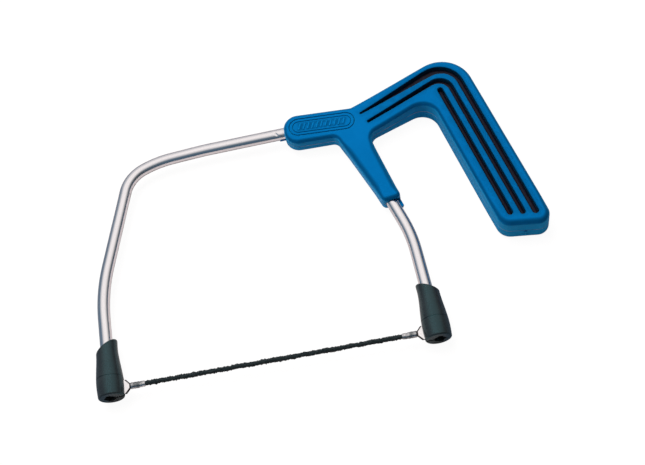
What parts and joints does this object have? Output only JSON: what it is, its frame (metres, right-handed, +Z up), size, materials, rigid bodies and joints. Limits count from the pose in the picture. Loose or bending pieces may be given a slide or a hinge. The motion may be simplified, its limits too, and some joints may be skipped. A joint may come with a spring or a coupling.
{
  "type": "coping saw",
  "caption": "Hand saw for tight curves: a bent rod frame with a two-shell handle holds a slim round abrasive blade between slotted ends.",
  "frame": {"origin": "on the blade's centre line, midway between its two cross pins and so midway between the two blade seats", "axes": "+X along the blade from the front end to the rear end (the handle's end), +Y in the plane of the saw from the blade towards the top of the handle, +Z up, out of the front face, with the saw lying on the back of its handle"},
  "size_m": [0.2363, 0.1532, 0.017],
  "materials": {
    "steel_rod": "bright drawn steel",
    "cap_plastic": "satin moulded plastic",
    "blue_shell": "satin moulded plastic",
    "dark_core": "matte soft moulding",
    "abrasive_rod": "coarse bonded grit on wire",
    "plated_fitting": "bright plated, crimped"
  },
  "bodies": {
    "frame": {"frame_rod": "steel_rod", "front_end_cap": "cap_plastic", "rear_end_cap": "cap_plastic", "handle_front_shell": "blue_shell", "handle_back_shell": "blue_shell", "grip_core": "dark_core"},
    "front_pin": {"front_blade_pin": "plated_fitting"},
    "blade": {"blade_wire": "abrasive_rod", "front_blade_fitting": "plated_fitting", "rear_blade_fitting": "plated_fitting", "rear_blade_pin": "plated_fitting"}
  },
  "joints": [
    {"name": "blade_lift", "type": "slide", "parent": "frame", "child": "front_pin", "axis": [0, -1, 0], "range_m": [0, 0.03]},
    {"name": "blade_swing", "type": "hinge", "parent": "front_pin", "child": "blade", "pos_m": [-0.0825, 0, 0], "axis": [0, 0, -1], "range_deg": [0, 60]}
  ]
}
